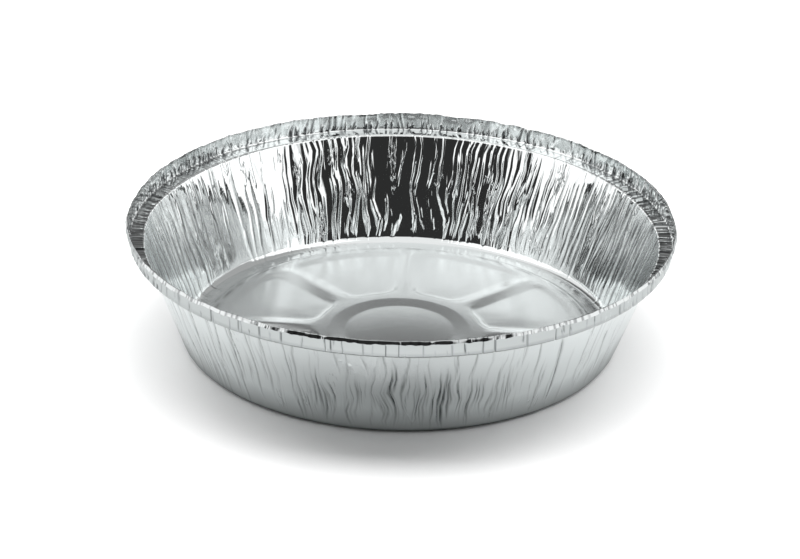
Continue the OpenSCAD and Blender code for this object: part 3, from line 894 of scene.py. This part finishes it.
@dataclass
class FoilTin:
    """The tin: one sheet of foil with an upper and a lower face.

    Attributes:
        rim: Radius over the rolled edge in millimetres.
        top: Height in millimetres.
    """

    rim: float
    top: float
    base: PressedBase = field(default_factory=PressedBase)
    finish: RolledFoil = field(default_factory=RolledFoil)

    def rings(self) -> tuple[list[np.ndarray], ...]:
        """Rings of the upper and the lower face, from the middle outwards.

        Base rings sit at the pattern's height. Side rings sit on the side view, moved
        along its normal by the folds, and the lower face lies one foil thickness
        further along the same normal.

        Returns:
            Rings of the upper face, of the lower face, the places of their points, and
            how dark the painted shade of the upper and the lower face is there.
        """
        upper, lower, turns, upper_shade, lower_shade = [], [], [], [], []
        down = np.array([0, 0, self.base.foil])
        for zone, radii in self.base.radii().items():
            for radius in radii:
                turn = self.base.turns(radius, zone)
                z = self.base.height(np.full_like(turn, radius), turn)
                ring = self._turned(np.full_like(turn, radius), z, turn)
                upper.append(ring)
                lower.append(ring - down)
                turns.append(turn)
                upper_shade.append(self.base.painted_shade(np.full_like(turn, radius), turn))
                lower_shade.append(np.zeros_like(turn))
        path = SidePath(self.rim, self.top, self.base.foil, self.base.stand + 0.9)
        pattern = FoldPattern(path)
        count = Zone.SIDE.value
        turn = crowd(np.arange(count) / count)
        grid_turn = np.broadcast_to(turn, (len(path.r), count))
        grid_run = np.broadcast_to(path.run[:, None], grid_turn.shape)
        folds, lines = pattern.folds(turn)
        fold_shade = pattern.painted_shade(turn, lines)
        move = pattern.move(turn, folds)
        roll_start, roll_top, edge = path.marks[6], path.marks[8], path.run[-1]
        on_roll = smooth(grid_run, roll_start - 2.5, roll_top)
        fall = pattern.edge_fall(turn, 31) * on_roll
        inward = pattern.edge_fall(turn, 41) * on_roll * 0.8
        level = np.zeros_like(turn)
        ragged = 0.3 * ChanceRelief(200, 9.0, 51).at(turn, level) + 0.1 * ChanceRelief(480, 9.0, 52).at(turn, level)
        ragged = ragged * smooth(grid_run, roll_top, edge)
        moved_turn = turn + pattern.sideways(turn) / (2 * math.pi * path.r[:, None])
        r = path.r[:, None] + path.normal[:, :1] * move - inward
        z = path.z[:, None] + path.normal[:, 1:] * move - fall - ragged
        thick_r = r + self.base.foil * path.normal[:, :1]
        thick_z = z + self.base.foil * path.normal[:, 1:]
        for k in range(len(path.r)):
            # The flat ring needs only a quarter of the wall's columns.
            step = 4 if k < 2 else 1
            upper.append(self._turned(r[k, ::step], z[k, ::step], moved_turn[k, ::step]))
            lower.append(self._turned(thick_r[k, ::step], thick_z[k, ::step], moved_turn[k, ::step]))
            turns.append(turn[::step])
            upper_shade.append(fold_shade[0][k, ::step])
            lower_shade.append(fold_shade[1][k, ::step])
        return upper, lower, turns, upper_shade, lower_shade

    @staticmethod
    def _turned(radius: np.ndarray, z: np.ndarray, turn: np.ndarray) -> np.ndarray:
        """Points of a ring from radius, height and place round the tin."""
        angle = turn * 2 * math.pi
        return np.stack([radius * np.cos(angle), radius * np.sin(angle), z], axis=1)

    @staticmethod
    def _corner_normals(points: np.ndarray, triangles: np.ndarray) -> np.ndarray:
        """Shading normals for one face of the sheet, so that flats stay flat beside bends.

        A corner's normal is the sum of the cross products of all triangles of the same
        face that meet there, so each counts by its area.

        Args:
            points: All points of the shell.
            triangles: The triangles of one face.

        Returns:
            One normal for each corner of each triangle, in order.
        """
        a, b, c = (points[triangles[:, k]] for k in range(3))
        cross = np.cross(b - a, c - a)
        total = np.stack([np.bincount(triangles.ravel(), np.repeat(cross[:, k], 3), len(points))
                          for k in range(3)], axis=1)
        corners = total[triangles.ravel()]
        return corners / np.linalg.norm(corners, axis=1)[:, None]

    def mesh(self) -> bpy.types.Mesh:
        """Closes both faces into one shell and makes the mesh."""
        upper, lower, turns, upper_shade, lower_shade = self.rings()
        counts = [len(turn) for turn in turns]
        centre_z = float(self.base.height(np.zeros(1), np.zeros(1))[0])
        top_face = np.concatenate([[[0, 0, centre_z]], *upper])
        low_face = np.concatenate([[[0, 0, centre_z - self.base.foil]], *lower])
        starts = 1 + np.concatenate([[0], np.cumsum(counts)[:-1]])
        ring = np.arange(counts[0])
        faces = [np.stack([np.zeros_like(ring), 1 + ring, 1 + (ring + 1) % counts[0]], axis=1)]
        for k in range(len(counts) - 1):
            faces.append(stitch(int(starts[k]), turns[k], int(starts[k + 1]), turns[k + 1]))
        sheet = np.concatenate(faces)
        size = len(top_face)
        last = int(starts[-1])
        edge = stitch(last, turns[-1], last + size, turns[-1])
        triangles = np.concatenate([sheet, sheet[:, ::-1] + size, edge])
        points = np.concatenate([top_face, low_face]) * MM
        made = bpy.data.meshes.new("foil_sheet")
        made.vertices.add(len(points))
        made.vertices.foreach_set("co", points.ravel())
        made.loops.add(triangles.size)
        made.loops.foreach_set("vertex_index", triangles.ravel().astype(np.int32))
        made.polygons.add(len(triangles))
        made.polygons.foreach_set("loop_start", np.arange(0, triangles.size, 3, dtype=np.int32))
        made.polygons.foreach_set("use_smooth", np.ones(len(triangles), dtype=bool))
        made.update(calc_edges=True)
        made.validate()
        shares = [sheet, sheet[:, ::-1] + size, edge]
        made.normals_split_custom_set(np.concatenate([self._corner_normals(points, s) for s in shares]))
        # Painted shade of both faces, as a point attribute for the material.
        painted_shade = np.concatenate([[0], *upper_shade, [0], *lower_shade])
        made.attributes.new(SHADE_ATTRIBUTE, "FLOAT", "POINT").data.foreach_set("value", painted_shade)
        return made

    def build(self) -> bpy.types.Object:
        """Makes the piece and lets it stand for the plain solid."""
        tin = bpy.data.objects.new("foil_sheet", self.mesh())
        bpy.context.scene.collection.objects.link(tin)
        tin.data.materials.append(self.finish.material())
        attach(tin, "root")
        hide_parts(NODE)
        return tin


@dataclass(frozen=True)
class RoomPart:
    """One part of the room that the foil mirrors.

    Attributes:
        azimuth: Its direction, with the camera at -90 degrees.
        half_width: Half its width in degrees.
        top: Height angle up to which it reaches.
        fade: Width of its soft edges in degrees.
        brightness: Its strength, where 1 is white.
    """

    azimuth: float
    half_width: float
    top: float
    fade: float
    brightness: float


@dataclass(frozen=True)
class Softbox:
    """A soft lamp that points at the foot of the tin and that the foil doesn't mirror.

    Attributes:
        place: Its middle in metres.
        size: Its width and height in metres.
        power: Its power in watts.
    """

    place: tuple[float, float, float]
    size: tuple[float, float]
    power: float

    def build(self) -> bpy.types.Object:
        """Makes the lamp, with its width level and its face towards the tin."""
        data = bpy.data.lights.new("softbox", "AREA")
        data.shape = "RECTANGLE"
        data.size, data.size_y = self.size
        data.energy = self.power
        lamp = bpy.data.objects.new("softbox", data)
        lamp.visible_glossy = False
        back = Vector(self.place).normalized()
        right = Vector((0, 1, 0)).cross(back).normalized()
        turned = Matrix((right, back.cross(right), back)).transposed().to_4x4()
        lamp.matrix_world = Matrix.Translation(self.place) @ turned
        bpy.context.scene.collection.objects.link(lamp)
        return lamp


@dataclass
class Studio:
    """White floor, soft light and the camera.

    Attributes:
        rim: Radius of the tin in metres, the unit of the camera's distances.
        turn: Turn of the camera round the tin from -Y, in degrees.
        elevation: Height angle of the camera in degrees.
        roll: Roll of the camera in degrees.
        distance: Distance of the camera in tin radii.
        aim_up: Shift of the camera up its own frame, in tin radii.
        aim_right: Shift of the camera to its right, in tin radii.
        lens: Focal length in millimetres on a 36 mm sensor.
        brightness: Strength of the room where nothing darker stands.
        room: Darker parts of the room.
        fill: Share of the room's light that reaches the table.
        table: Colour of the table as the foil mirrors it.
        under: Painted shadow on the table close to the foot, where the rim keeps the light out.
        beyond: Painted darker grey that the foil mirrors past the lit part of the table.
        table_reach: Distance from the tin's axis at which that starts, in metres.
        lamps: Soft lamps over and behind the tin.
    """

    rim: float
    turn: float = 3.0
    elevation: float = 25.46
    roll: float = 1.19
    distance: float = 13.2155
    aim_up: float = 0.1942
    aim_right: float = -0.0016
    lens: float = 161.46
    brightness: float = 0.95
    room: tuple[RoomPart, ...] = (
        RoomPart(200, 26, 60, 12, 1.45),
        RoomPart(-25, 24, 60, 12, 1.4),
        RoomPart(-97, 170, 23, 6, 1.1),
        RoomPart(90, 36, 42, 20, 0.14),
        RoomPart(35, 28, 62, 15, 0.42),
        RoomPart(-97, 150, 18, 5, 1.36),
        RoomPart(-93, 42, 22, 12, 0.03),
        RoomPart(-97, 25, 31, 5, 0.03),
    )
    fill: float = 0.26
    table: str = "#EFF1F1"
    under: str = "#565858"
    beyond: str = "#B0B2B2"
    table_reach: float = 0.11
    lamps: tuple[Softbox, ...] = (
        Softbox((0.0, 0.3, 1.2), (1.7, 1.0), 24.5),
        Softbox((1.0, 0.45, 0.8), (0.9, 0.9), 8.0),
        Softbox((-1.0, 0.45, 0.8), (0.9, 0.9), 7.0),
    )

    def camera(self) -> bpy.types.Object:
        """Places the camera by its angle round the tin, its height angle and its roll."""
        tilt, roll = math.radians(self.elevation), math.radians(self.roll)
        turned = Matrix.Rotation(math.radians(self.turn), 3, "Z")
        right = turned @ Vector((1, 0, 0))
        back = turned @ Vector((0, -math.cos(tilt), math.sin(tilt)))
        up = back.cross(right)
        place = (back * self.distance + up * self.aim_up + right * self.aim_right) * self.rim
        x = right * math.cos(roll) + up * math.sin(roll)
        y = up * math.cos(roll) - right * math.sin(roll)
        data = bpy.data.cameras.new("camera")
        data.lens = self.lens
        data.sensor_width = 36.0
        data.clip_start = 0.01
        camera = bpy.data.objects.new("camera", data)
        camera.matrix_world = Matrix.Translation(place) @ Matrix((x, y, back)).transposed().to_4x4()
        bpy.context.scene.collection.objects.link(camera)
        bpy.context.scene.camera = camera
        return camera

    def floor(self) -> bpy.types.Object:
        """A wide pale floor at the table plane, whitened for the camera alone.

        The foil mirrors the table in its own light grey, with a painted shadow close to the
        tin's foot and a painted darker grey past the table's reach, where less light falls.
        """
        half = 6.0
        data = bpy.data.meshes.new("floor")
        data.from_pydata([(-half, -half, 0), (half, -half, 0), (half, half, 0), (-half, half, 0)], [],
                         [(0, 1, 2, 3)])
        made = bpy.data.materials.new("white_table")
        made.use_nodes = True
        tree = made.node_tree
        tree.nodes.clear()
        rays = add_node(tree, "ShaderNodeLightPath").outputs
        place = add_node(tree, "ShaderNodeTexCoord").outputs["Object"]
        away = add_node(tree, "ShaderNodeVectorMath", {"operation": "LENGTH"}, i0=place).outputs["Value"]
        # Painted fall-off of light: past the table's reach the mirrored table is a darker grey.
        past = add_node(tree, "ShaderNodeMapRange", {"interpolation_type": "SMOOTHSTEP"}, Value=away,
                        From_Min=self.table_reach - 0.02, From_Max=self.table_reach + 0.02).outputs[0]
        # Painted shadow: close to the foot the mirrored table darkens, as if under the rim.
        clear = add_node(tree, "ShaderNodeMapRange", Value=away, From_Min=0.066, From_Max=0.08).outputs[0]
        lit = add_node(tree, "ShaderNodeMix", {"data_type": "RGBA"}, i0=clear,
                       i6=(*linear(self.under), 1), i7=(*linear(self.table), 1)).outputs[2]
        mirrored = add_node(tree, "ShaderNodeMix", {"data_type": "RGBA"}, i0=past,
                            i6=lit, i7=(*linear(self.beyond), 1)).outputs[2]
        own = add_node(tree, "ShaderNodeBsdfDiffuse", Color=mirrored).outputs[0]
        whitened = add_node(tree, "ShaderNodeBsdfDiffuse", Color=(*linear("#FCFCFC"), 1)).outputs[0]
        paint = add_node(tree, "ShaderNodeMixShader", i0=rays["Is Camera Ray"], i1=own, i2=whitened)
        add_node(tree, "ShaderNodeOutputMaterial", Surface=paint.outputs[0])
        data.materials.append(made)
        floor = bpy.data.objects.new("floor", data)
        bpy.context.scene.collection.objects.link(floor)
        return floor

    def world(self) -> None:
        """Plain soft surroundings, white to the camera.

        The foil is a mirror, so what it shows is the room: bright at both sides and
        overhead, a grey wall behind the tin and a dark end behind the camera. Each
        part of the room fades in by the cosine of the angle from its direction, and
        out above its height.
        """
        world = bpy.data.worlds.new("studio")
        bpy.context.scene.world = world
        world.use_nodes = True
        tree = world.node_tree
        tree.nodes.clear()
        way = add_node(tree, "ShaderNodeTexCoord").outputs["Generated"]
        axes = add_node(tree, "ShaderNodeSeparateXYZ", Vector=way).outputs
        flat = add_node(tree, "ShaderNodeCombineXYZ", X=axes["X"], Y=axes["Y"]).outputs[0]
        level = add_node(tree, "ShaderNodeVectorMath", {"operation": "NORMALIZE"}, i0=flat).outputs[0]
        soft = {"interpolation_type": "SMOOTHSTEP"}
        light = self.brightness
        for part in self.room:
            a = math.radians(part.azimuth + self.turn)
            facing = add_node(tree, "ShaderNodeVectorMath", {"operation": "DOT_PRODUCT"}, i0=level,
                              i1=(math.cos(a), math.sin(a), 0)).outputs["Value"]
            across = add_node(tree, "ShaderNodeMapRange", soft, Value=facing,
                              From_Min=math.cos(math.radians(part.half_width + part.fade)),
                              From_Max=math.cos(math.radians(part.half_width))).outputs[0]
            below = add_node(tree, "ShaderNodeMapRange", soft, Value=axes["Z"],
                             From_Min=math.sin(math.radians(part.top)),
                             From_Max=math.sin(math.radians(part.top + part.fade)),
                             To_Min=1.0, To_Max=0.0).outputs[0]
            share = add_node(tree, "ShaderNodeMath", {"operation": "MULTIPLY"}, i0=across, i1=below).outputs[0]
            light = add_node(tree, "ShaderNodeMix", {"data_type": "FLOAT"}, i0=share, i2=light,
                             i3=part.brightness).outputs[0]
        plain = (*linear("#FFFFFF"), 1)
        rays = add_node(tree, "ShaderNodeLightPath").outputs
        mirrored = add_node(tree, "ShaderNodeMath", {"operation": "MAXIMUM"}, i0=rays["Is Glossy Ray"],
                            i1=rays["Is Transmission Ray"]).outputs[0]
        level = add_node(tree, "ShaderNodeMix", {"data_type": "FLOAT"}, i0=mirrored, i2=self.fill,
                         i3=1.0).outputs[0]
        strength = add_node(tree, "ShaderNodeMath", {"operation": "MULTIPLY"}, i0=light, i1=level).outputs[0]
        room = add_node(tree, "ShaderNodeBackground", Strength=strength, Color=plain).outputs[0]
        white = add_node(tree, "ShaderNodeBackground", Strength=1.0, Color=plain).outputs[0]
        seen = add_node(tree, "ShaderNodeMixShader", i0=rays["Is Camera Ray"], i1=room, i2=white).outputs[0]
        add_node(tree, "ShaderNodeOutputWorld", Surface=seen)


def main() -> None:
    """Builds the tin and its studio, and reports each piece."""
    logging.basicConfig(level=logging.INFO, format="%(message)s")
    low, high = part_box(NODE)
    rim = (high[0] - low[0]) / 2
    studio = Studio(rim)
    studio.camera()
    studio.floor()
    studio.world()
    for lamp in studio.lamps:
        lamp.build()
    tin = FoilTin(rim / MM, (high[2] - low[2]) / MM)
    piece = tin.build()
    log.info("%s: %d triangles", piece.name, len(piece.data.polygons))
    bpy.context.scene.view_settings.view_transform = "Standard"


if __name__ == "__main__":
    main()
